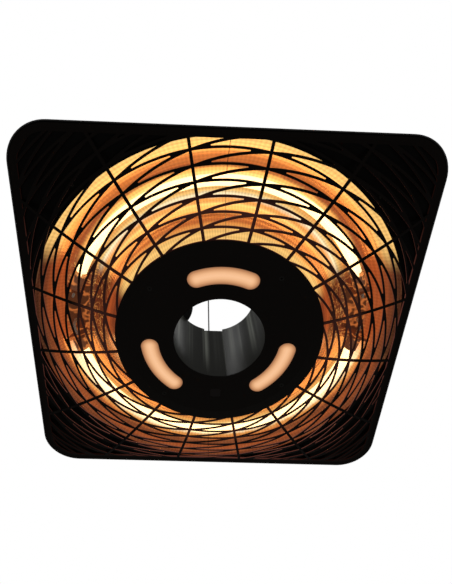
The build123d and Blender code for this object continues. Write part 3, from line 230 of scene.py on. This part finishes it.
def edge_lit_enamel():
    """Guard enamel with lamp light on the cut edges of its slots: a dim red-brown glow on the walls that
    face the lamps' circle from either side of it. The glow is the wall's outward share, turned round
    at the circle, times a share that falls with the radius."""
    finish = enamel("guard_black", (0.0035, 0.0018, 0.0010), 0.5, 0.07)
    glow = (0.15, 0.046, 0.034)
    turn_start, turn_end = 145 * MM, 181 * MM
    near_radius, far_radius, near_glow, far_glow = 190 * MM, 245 * MM, 0.9, 0.06
    radius = finish.round_about()[0]
    level = finish.node("VectorMath", {0: finish.place(), 1: (1, 1, 0)}, operation="MULTIPLY").outputs[0]
    spoke = finish.node("VectorMath", {0: level}, operation="NORMALIZE").outputs[0]
    wall = finish.node("TexCoord").outputs["Normal"]
    outward = finish.node("VectorMath", {0: spoke, 1: wall}, operation="DOT_PRODUCT").outputs["Value"]
    facing = finish.times(outward, finish.between(radius, turn_start, turn_end, 1.0, -1.0), clamp=True)
    share = finish.times(facing, finish.between(radius, near_radius, far_radius, near_glow, far_glow))
    return finish.set(emission_color=finish.mix(share, (0, 0, 0), glow), emission_strength=1.0)


wear("shade", finish=enamel("shade_enamel", (0.007, 0.0065, 0.006), 0.34, 0.4))
wear("bezel_plate", finish=enamel("plate_enamel", (0.0012, 0.0008, 0.0005), 0.40, 0.05, 0.01 * MM))
wear("hub_cover", finish=enamel("hub_enamel", (0.0032, 0.0018, 0.0010), 0.34, 0.08, 0.02 * MM))
wear("centre_tube", finish=painted_sky_streak_enamel())
wear("guard", finish=edge_lit_enamel())

# Bare metal
rolled_grain, rolled_height = 1500, 0.01 * MM
spangle_below, spangle_above = 0.08, 0.1
spangle_share, spangle_tone = 0.35, 0.6


def plating(name, colour, roughness, scale=160.0):
    """Zinc or steel sheet: metal with broad soft spangles and a fine rolled grain."""
    finish = Finish(name, colour, metallic=1.0)
    spangle = finish.noise(scale, 2)
    finish.set(roughness=finish.between(spangle, 0, 1, roughness - spangle_below, roughness + spangle_above))
    darker = tuple(channel * spangle_tone for channel in colour)
    finish.set(base_color=finish.mix(finish.times(spangle, spangle_share), colour, darker))
    finish.bump(finish.noise(rolled_grain, 2), rolled_height)
    return finish


zinc = plating("zinc_sheet", (0.62, 0.62, 0.60), 0.38)
bright = plating("bright_steel", (0.68, 0.68, 0.67), 0.26, 300)
screw_zinc = plating("screw_zinc", (0.60, 0.60, 0.62), 0.32, 500)
screw_black = enamel("screw_black", (0.004, 0.003, 0.002), 0.4, 0.15)
wire_steel = plating("wire_steel", (0.20, 0.20, 0.195), 0.35, 300)
wear("core_drum", "led_tray", "core_shelf", "heat_shield", finish=zinc)

glint_scale, glint_thinness = 55, 16


def glint(finish, dark, vein):
    """Crumpled lamp light on a piece: thin bright veins over a dark glow."""
    glow = finish.mix(finish.veins(glint_scale, glint_thinness), dark, vein)
    return finish.set(emission_color=glow, emission_strength=1.0)


# Lamp holders: brown metal with painted glints of lamp light, thin bright veins over a painted dark glow.
holder_glint_sheet = plating("holder_lamp_glint_sheet", (0.20, 0.08, 0.03), 0.42)
glint(holder_glint_sheet, (0.045, 0.012, 0.005), (0.52, 0.14, 0.032))
wear("lamp_holder_right", "lamp_holder_left", finish=holder_glint_sheet)
wear("wire_anchors", "crown_plate", "hook", "gate_pin", "gate", finish=bright)
wear("gate_spring", "swivel_washer", "swivel_nut", finish=bright)
wear("roof_screws", "roof_nuts", "anchor_screws", "box_screws", "hub_posts", finish=screw_zinc)
wear("skirt_rivets", "reflector_rivets", "hub_screws", "lid_screws", finish=screw_black)

# Reflector: polished aluminium with fine hammered rows. The lamps' light on it is a glow whose colour
# follows the trough's section, with one run of colours on the near side, one on the far side and
# one in the two gaps between the lamps.
trough_inner, trough_outer = 104 * MM, 206 * MM
white_hot, pale, yellow = (1.0, 0.90, 0.58), (1.0, 0.60, 0.185), (0.84, 0.35, 0.080)
orange, deep, rust_red_glow = (0.56, 0.145, 0.034), (0.36, 0.072, 0.018), (0.16, 0.036, 0.013)
umber = (0.055, 0.016, 0.008)


def section(*stops):
    """Colours at radii in millimetres across the trough, as places from 0 to 1."""
    width = trough_outer - trough_inner
    return [((radius * MM - trough_inner) / width, colour) for radius, colour in stops]


near_section = section(
    (104, yellow), (112, pale), (117, pale), (121, yellow), (125, orange), (129, deep), (133, yellow),
    (137, pale), (141, yellow), (145, white_hot), (149, pale), (154, yellow), (157, yellow),
    (161, white_hot), (168, pale), (172, yellow), (175, deep), (181, deep), (188, orange),
    (192, yellow), (197, pale), (204, pale),
)
far_section = section(
    (104, umber), (130, umber), (144, rust_red_glow), (156, orange), (164, yellow), (169, pale), (173, white_hot),
    (182, white_hot), (185, yellow), (188, orange), (191, rust_red_glow), (197, deep), (204, rust_red_glow),
)
gap_section = section(
    (104, umber), (118, rust_red_glow), (124, deep), (130, umber), (140, umber), (152, rust_red_glow), (160, umber),
    (168, rust_red_glow), (180, deep), (190, deep), (198, rust_red_glow), (204, umber),
)


def lamp_lit_reflector():
    """Across the trough the glow is the section's colour at the radius, shifted a little by a crinkle.
    Along the trough it changes from lamp to gap, and in the gaps bright veins lie over its middle.
    Small dents, as the mean of a sine wave across the trough and one along it, vary the glow's
    brightness and the metal's height."""
    hammer_pitch, dent_dark, dent_bright, dent_height = 3.8 * MM, 0.76, 1.14, 0.08 * MM
    crinkle_scale, crinkle_shift, crinkle_height = 95, 0.035, 3
    near_edge, far_edge = -30 * MM, 50 * MM
    vein_scale, vein_thinness = 130, 45
    near_ends = ((-162, -150), (-19, -31))
    far_ends = ((7, 20), (170, 155))
    vein_edges = ((122, 135), (182, 172))

    # The metal's own colour is a dark orange, a painted lamp tone over the aluminium.
    finish = Finish("hammered_reflector", (0.26, 0.14, 0.06), metallic=1.0, roughness=0.22)
    radius, angle = finish.round_about()
    across = finish.between(radius, trough_inner, trough_outer, 0.0, 1.0)
    crinkle = finish.noise(crinkle_scale, 3, 0.6)
    across = finish.math("ADD", across, finish.times(finish.less(crinkle, 0.5), crinkle_shift))
    ahead = finish.node("SeparateXYZ", {0: finish.place()}).outputs[1]
    lit = finish.mix(
        finish.span(ahead, near_edge, far_edge),
        finish.ramp(across, *near_section),
        finish.ramp(across, *far_section),
    )

    def inside(value, unit, edges):
        """1 between two soft edges and 0 outside them. An edge holds the place of its 0 and of its 1."""
        return finish.times(*[finish.span(value, start * unit, end * unit) for start, end in edges])

    near_lit = inside(angle, radians(1), near_ends)
    far_lit = inside(angle, radians(1), far_ends)
    lamp_share = finish.math("ADD", near_lit, far_lit, clamp=True)
    vein = finish.times(finish.veins(vein_scale, vein_thinness), inside(radius, MM, vein_edges))
    gap = finish.mix(vein, finish.ramp(across, *gap_section), yellow)
    light = finish.mix(lamp_share, gap, lit)

    rows = finish.math("SINE", finish.times(radius, tau / hammer_pitch))
    dents = finish.math("SINE", finish.times(angle, tau * lamp_radius / hammer_pitch))
    hammer = finish.times(finish.math("ADD", rows, dents), 0.5)
    dented = finish.mix(1.0, light, finish.between(hammer, -1.0, 1.0, dent_dark, dent_bright), "MULTIPLY")
    finish.set(emission_color=dented, emission_strength=0.92)
    return finish.bump(finish.math("ADD", hammer, finish.times(crinkle, crinkle_height)), dent_height)


wear("reflector_right", "reflector_left", finish=lamp_lit_reflector())

# Lamps
ceramic_grain, sleeve_weave = 700, 1800
lamp_glass = Finish("lamp_glass", (1.0, 0.75, 0.45), roughness=0.05, alpha=0.55)
lamp_glass.set(emission_color=(1.0, 0.80, 0.42), emission_strength=1.5)
filament = Finish("filament", (0.3, 0.2, 0.1), roughness=0.6)
filament.set(emission_color=(1.0, 0.88, 0.62), emission_strength=3.0)
ceramic = Finish("ceramic", (0.30, 0.17, 0.09), roughness=0.6)
# Painted glints of lamp light on the caps and terminals: thin bright veins over a painted dark glow.
glint(ceramic, (0.06, 0.015, 0.006), (0.60, 0.18, 0.040))
ceramic.bump(ceramic.noise(ceramic_grain, 3), 0.04 * MM)
sleeve = Finish("lead_sleeve", (0.6, 0.55, 0.45), roughness=0.8)
sleeve.bump(sleeve.noise(sleeve_weave, 1), 0.1 * MM)
wear("lamp_tube_near", "lamp_tube_far", finish=lamp_glass)
wear("filament_near", "filament_far", finish=filament)
wear("lamp_caps", "lamp_terminals", finish=ceramic)
wear("lamp_leads", finish=sleeve)

# Light windows: a milky lens that is brightest along its middle line and fades towards its edge. The
# angle is folded every third of a turn, so that each of the three windows counts from its own middle.
window_radius, window_half, window_reach = 76.3 * MM, 9.75 * MM, radians(21.2)
lens = Finish("amber_lens", (0.45, 0.24, 0.13), roughness=0.3)
radius, angle = lens.round_about()
turn_from_window = lens.math("PINGPONG", lens.math("ADD", angle, pi / 2), pi / 3)
past_end = lens.math("MAXIMUM", lens.less(turn_from_window, window_reach), 0.0)
away = lens.length(lens.less(radius, window_radius), lens.times(past_end, window_radius))
glow = lens.ramp(
    lens.math("DIVIDE", away, window_half),
    (0.0, (0.86, 0.50, 0.28)), (0.35, (0.78, 0.43, 0.22)), (0.65, (0.56, 0.27, 0.12)),
    (0.86, (0.34, 0.14, 0.055)), (1.0, (0.17, 0.065, 0.027)),
)
lens.set(emission_color=glow, emission_strength=0.97)
wear("led_lenses", finish=lens)

mould_grain = 2200


def moulded(name, colour, roughness=0.45, grain=0.03 * MM):
    """Moulded plastic with a fine even grain."""
    finish = Finish(name, colour, roughness=roughness)
    finish.bump(finish.noise(mould_grain, 2), grain)
    return finish


box_plastic = moulded("box_plastic", (0.012, 0.012, 0.012), 0.5, 0.06 * MM)
switch_plastic = moulded("switch_plastic", (0.01, 0.01, 0.01), 0.25, 0.01 * MM)
rubber = moulded("black_rubber", (0.015, 0.015, 0.015), 0.75)
white_plastic = moulded("white_plastic", (0.80, 0.80, 0.76), 0.5)
relay_blue = moulded("relay_blue", (0.03, 0.10, 0.40), 0.4)
board_green = moulded("board_green", (0.02, 0.13, 0.05), 0.35)
chip_yellow = moulded("chip_yellow", (0.85, 0.65, 0.15), 0.3)
window_red = moulded("sensor_red", (0.004, 0.0018, 0.0014), 0.3, 0.01 * MM).set(ior_level=0.14)
wear("junction_box", "box_lid", "gland_body", "gland_dome", "gland_locknut", finish=box_plastic)
wear("switch_frame", "rocker_switch", "sensor_receiver", "board_spacers", finish=switch_plastic)
wear("light_driver", "board_capacitors", finish=switch_plastic)
wear("box_grommet", "box_gasket", "gland_seal", finish=rubber)
wear("board_connector", "terminal_block", finish=white_plastic)
wear("power_relay", finish=relay_blue)
wear("led_boards", "control_board", finish=board_green)
wear("led_chips", finish=chip_yellow)
wear("sensor_window", finish=window_red)


# Pieces that are finer than their solids
sharp_angle = radians(40)


def skin(rings):
    """A tube through rings of points: quads between each ring and the next, and a cap on both ends."""
    count, sides = rings.shape[:2]
    index = np.arange(count * sides).reshape(count, sides)
    here, after = index[:-1], index[1:]
    quads = np.stack([here, np.roll(here, -1, 1), np.roll(after, -1, 1), after], -1).reshape(-1, 4)
    return rings.reshape(-1, 3), quads.tolist() + [index[0, ::-1].tolist(), index[-1].tolist()]


def wire_rings(path, across, radius, sides):
    """Circles of a round wire: in the plane across the path, each starts from the given direction."""
    ahead = np.gradient(path, axis=0)
    ahead /= np.linalg.norm(ahead, axis=1, keepdims=True)
    first = across - np.sum(across * ahead, 1, keepdims=True) * ahead
    first /= np.linalg.norm(first, axis=1, keepdims=True)
    second = np.cross(ahead, first)
    turn = np.linspace(0, tau, sides, endpoint=False)[None, :, None]
    return path[:, None] + radius * (first[:, None] * np.cos(turn) + second[:, None] * np.sin(turn))


def piece(name, skins, body, finish, replaced):
    """One object from several closed skins, facing outwards and shaded smooth, in place of CAD nodes."""
    points, faces, count = [], [], 0
    for skin_points, skin_faces in skins:
        points.append(skin_points)
        faces += [[corner + count for corner in face] for face in skin_faces]
        count += len(skin_points)
    mesh = bpy.data.meshes.new(name)
    mesh.from_pydata(np.concatenate(points), [], faces)
    shell = bmesh.new()
    shell.from_mesh(mesh)
    bmesh.ops.recalc_face_normals(shell, faces=shell.faces)
    shell.to_mesh(mesh)
    shell.free()
    mesh.shade_smooth()
    mesh.set_sharp_from_angle(angle=sharp_angle)
    mesh.materials.append(finish.material)
    made = bpy.data.objects.new(name, mesh)
    bpy.context.scene.collection.objects.link(made)
    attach(made, body)
    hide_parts(*replaced)


# Filaments: a coil along each lamp's arc, which is in degrees, with a straight lead-in at both ends
coil_radius, coil_wire, coil_pitch = 1.32 * MM, 0.26 * MM, 2.8 * MM
coil_steps, coil_sides, coil_swell_turns = 14, 6, 2
lead_in_wire, lead_in_reach, lead_in_overlap = 0.5 * MM, 11.4 * MM, 1.0 * MM
lead_in_rings, lead_in_sides = 6, 10


def lamp_coil(start, end):
    """A helix round the arc of a lamp. Its radius grows from nothing over its first and last turns."""
    length = lamp_radius * radians(end - start)
    turns = round(length / coil_pitch)
    phase = np.linspace(0, tau * turns, turns * coil_steps + 1)
    angle = np.radians(start) + np.radians(end - start) * phase / phase[-1]
    from_end = np.minimum(phase, phase[-1] - phase) / tau
    swell = coil_radius * np.clip(from_end / coil_swell_turns, 0, 1)
    outward = np.stack([np.cos(angle), np.sin(angle), 0 * angle], 1)
    upward = np.array([[0, 0, 1.0]])
    spoke = outward * np.cos(phase)[:, None] + upward * np.sin(phase)[:, None]
    path = outward * lamp_radius + upward * lamp_height + spoke * swell[:, None]
    return skin(wire_rings(path, spoke, coil_wire, coil_sides))


def lead_in(turn, way):
    """The straight wire through a lamp's pressed end, along the tangent of its arc."""
    angle = radians(turn)
    start = np.array([cos(angle), sin(angle), 0]) * lamp_radius + [0, 0, lamp_height]
    ahead = np.array([-sin(angle), cos(angle), 0]) * way
    path = start + ahead * np.linspace(-lead_in_overlap, lead_in_reach, lead_in_rings)[:, None]
    upward = np.full((lead_in_rings, 3), (0, 0, 1.0))
    return skin(wire_rings(path, upward, lead_in_wire, lead_in_sides))


lamp_arcs = {"near": (-159, -25), "far": (13, 163)}
for name, (start, end) in lamp_arcs.items():
    skins = [lamp_coil(start, end), lead_in(start, -1), lead_in(end, 1)]
    piece(f"coil_{name}", skins, "heater", filament, [f"filament_{name}"])


# Hanging wires: seven-strand steel wire with a ball swaged on each end. Their turns are in degrees.
def turned(profile, place, sides=20):
    """An upright turned form: each pair is a radius and a height above its place."""
    turn = np.linspace(0, tau, sides, endpoint=False)
    circle = np.stack([np.cos(turn), np.sin(turn), 0 * turn], 1)
    profile = np.array(profile)
    outward = circle[None] * profile[:, :1, None]
    upward = np.array([0, 0, 1.0]) * profile[:, 1:, None]
    return skin(np.array(place) + outward + upward)


ball_radius, strand, lay = 3.0 * MM, 0.33 * MM, 13 * MM
outer_strands, strand_steps, strand_sides = 6, 11, 6
anchor_radius, crown_radius, wire_turns = 65 * MM, 12 * MM, (94, 214, 334)
low_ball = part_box("hanging_wires")[0].z + ball_radius
high_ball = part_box("hanging_wires")[1].z - ball_radius
latitudes = np.radians(np.linspace(-88, 88, 15))
ball = np.stack([np.cos(latitudes), np.sin(latitudes)], 1) * ball_radius


def strands(low, high):
    """Six strands in a helix round a straight seventh, from one ball to the other."""
    axis = (high - low) / np.linalg.norm(high - low)
    side = np.cross(axis, [0, 0, 1.0])
    side /= np.linalg.norm(side)
    other = np.cross(axis, side)
    length = np.linalg.norm(high - low)
    along = np.linspace(0, 1, int(length / lay * strand_steps))[:, None]
    core = low + (high - low) * along
    made = [skin(wire_rings(core, np.repeat(side[None], len(core), 0), strand, strand_sides))]
    for number in range(outer_strands):
        phase = along * length / lay * tau + number * tau / outer_strands
        spoke = side * np.cos(phase) + other * np.sin(phase)
        made.append(skin(wire_rings(core + spoke * strand * 2, spoke, strand, strand_sides)))
    return made


wire_skins = []
for turn in wire_turns:
    out = np.array([cos(radians(turn)), sin(radians(turn)), 0])
    low, high = out * anchor_radius + [0, 0, low_ball], out * crown_radius + [0, 0, high_ball]
    wire_skins += strands(low, high) + [turned(ball, low), turned(ball, high)]
piece("stranded_wires", wire_skins, "heater", wire_steel, ["hanging_wires"])

# Gate spring: a small coil round the gate's pin
pin_low, pin_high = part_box("gate_spring")
pin_middle = (pin_low + pin_high) / 2
spring_wire, spring_turns, spring_rings, spring_sides = 0.3 * MM, 2.4, 60, 8
spring_radius = (pin_high.x - pin_low.x) / 2 - spring_wire
phase = np.linspace(0, tau * spring_turns, spring_rings)
rise = pin_low.y + spring_wire + (pin_high.y - pin_low.y - 2 * spring_wire) * phase / phase[-1]
coil_path = np.stack(
    [pin_middle.x + spring_radius * np.cos(phase), rise, pin_middle.z + spring_radius * np.sin(phase)], 1
)
coil_spoke = np.stack([np.cos(phase), 0 * phase, np.sin(phase)], 1)
coil_skin = skin(wire_rings(coil_path, coil_spoke, spring_wire, spring_sides))
piece("gate_coil_spring", [coil_skin], "hook", bright, ["gate_spring"])


# Screws with a cross recess. The middle circle and an arm's width, reach and depth are shares of the
# head's radius, the shank's end is a share of the shank's and the crown is a share of the dome's height.
screw_apart = 8 * MM
arm_width, arm_reach, arm_depth, arm_slope = 0.16, 0.62, 0.5, 1.5
middle_share, crown_share, shank_end_share = 0.04, 0.45, 0.1
head_rings, head_sides = 13, 48


def screw_places(node):
    """Each upright screw of a node as its middle, lowest and highest point: what is near is one screw."""
    points = np.array([vertex.co for vertex in nodes[node].data.vertices])
    places = []
    while len(points):
        one = np.hypot(*(points[:, :2] - points[0, :2]).T) < screw_apart
        low, high = points[one].min(0), points[one].max(0)
        places.append(((low + high) / 2, low[2], high[2]))
        points = points[~one]
    return places


def recessed_screw(centre, base, top, head, dome, shank, flat=False):
    """A head from its top's middle outwards, then its side, underside and shank. A round head's top falls
    with the square of the radius. The top sinks into a cross whose arms are narrow and get shallower
    outwards. A countersunk head is flat, and its side slants in to the shank."""
    way = 1 if top > base else -1
    across = np.linspace(middle_share, 1, head_rings)
    crown = [(head * share, 0 if flat else dome * (1 - share**2) * crown_share) for share in across]
    turn = np.linspace(0, tau, head_sides, endpoint=False)
    rows = []
    for radius, height in crown:
        x, y = radius * np.cos(turn), radius * np.sin(turn)
        arm = np.minimum(np.abs(x), np.abs(y))
        narrow = np.clip(1 - arm / (arm_width * head), 0, 1)
        shallow = np.clip(arm_slope * (1 - radius / (arm_reach * head)), 0, 1)
        rows.append(np.stack([x, y, height - narrow * shallow * arm_depth * head], 1))
    reach = abs(top - base)
    under = [(shank, -dome)] if flat else [(head, -dome), (shank, -dome)]
    for radius, height in under + [(shank, -reach), (shank * shank_end_share, -reach)]:
        rows.append(np.stack([radius * np.cos(turn), radius * np.sin(turn), 0 * turn + height], 1))
    rings = np.array(rows) * [1, 1, way]
    return skin(rings + [centre[0], centre[1], top])


shank_radius = 1.45 * MM
for node, slot_name, finish, head, dome in (
    ("roof_screws", "steel_fasteners", screw_zinc, 3.2, 2.2),
    ("anchor_screws", "steel_fasteners", screw_zinc, 2.8, 1.8),
    ("lid_screws", "black_fasteners", screw_black, 2.8, 1.8),
):
    heads = [
        recessed_screw(
            middle, low, high - crown_share * dome * MM,
            head * MM, (1 - crown_share) * dome * MM, shank_radius,
        )
        for middle, low, high in screw_places(node)
    ]
    piece(f"recessed_{node}", heads, "heater", finish, [node])
hub_head, hub_head_depth = 2.6 * MM, 1.15 * MM
hub_heads = [
    recessed_screw(middle, high, low, hub_head, hub_head_depth, shank_radius, flat=True)
    for middle, low, high in screw_places("hub_screws")
]
piece("recessed_hub_screws", hub_heads, "heater", screw_black, ["hub_screws"])


# Stage: a pale floor well below, white surroundings and soft lights
def soft_light(name, place, aim, size, power):
    """A square soft light that faces a point."""
    light = bpy.data.objects.new(name, bpy.data.lights.new(name, "AREA"))
    light.data.size, light.data.energy = size, power
    light.location = place
    light.rotation_euler = (Vector(aim) - Vector(place)).to_track_quat("-Z", "Y").to_euler()
    bpy.context.scene.collection.objects.link(light)


floor_half, floor_height = 6.0, rim - 0.85
corners = [(x * floor_half, y * floor_half, floor_height) for x, y in ((-1, -1), (1, -1), (1, 1), (-1, 1))]
floor_mesh = bpy.data.meshes.new("floor")
floor_mesh.from_pydata(corners, [], [(0, 1, 2, 3)])
floor = bpy.data.objects.new("floor", floor_mesh)
bpy.context.scene.collection.objects.link(floor)
floor_paint = Finish("floor_paint", (0.78, 0.77, 0.75), roughness=0.8)
floor_mesh.materials.append(floor_paint.material)

lit_point = (0, 0, -0.4)
soft_light("key_light", (-0.9, -1.0, 0.7), lit_point, size=1.0, power=12)
soft_light("fill_light", (1.2, 0.5, 0.5), lit_point, size=1.0, power=7)

light_on_pieces, light_in_view = 0.16, 1.0
world = bpy.data.worlds.new("studio")
bpy.context.scene.world = world
world.use_nodes = True
sky = world.node_tree
path = sky.nodes.new("ShaderNodeLightPath")
strength = sky.nodes.new("ShaderNodeMapRange")
strength.inputs[3].default_value, strength.inputs[4].default_value = light_on_pieces, light_in_view
sky.links.new(path.outputs["Is Camera Ray"], strength.inputs[0])
sky.nodes["Background"].inputs[0].default_value = (1, 1, 1, 1)
sky.links.new(strength.outputs[0], sky.nodes["Background"].inputs[1])
bpy.context.scene.view_settings.view_transform = "Standard"
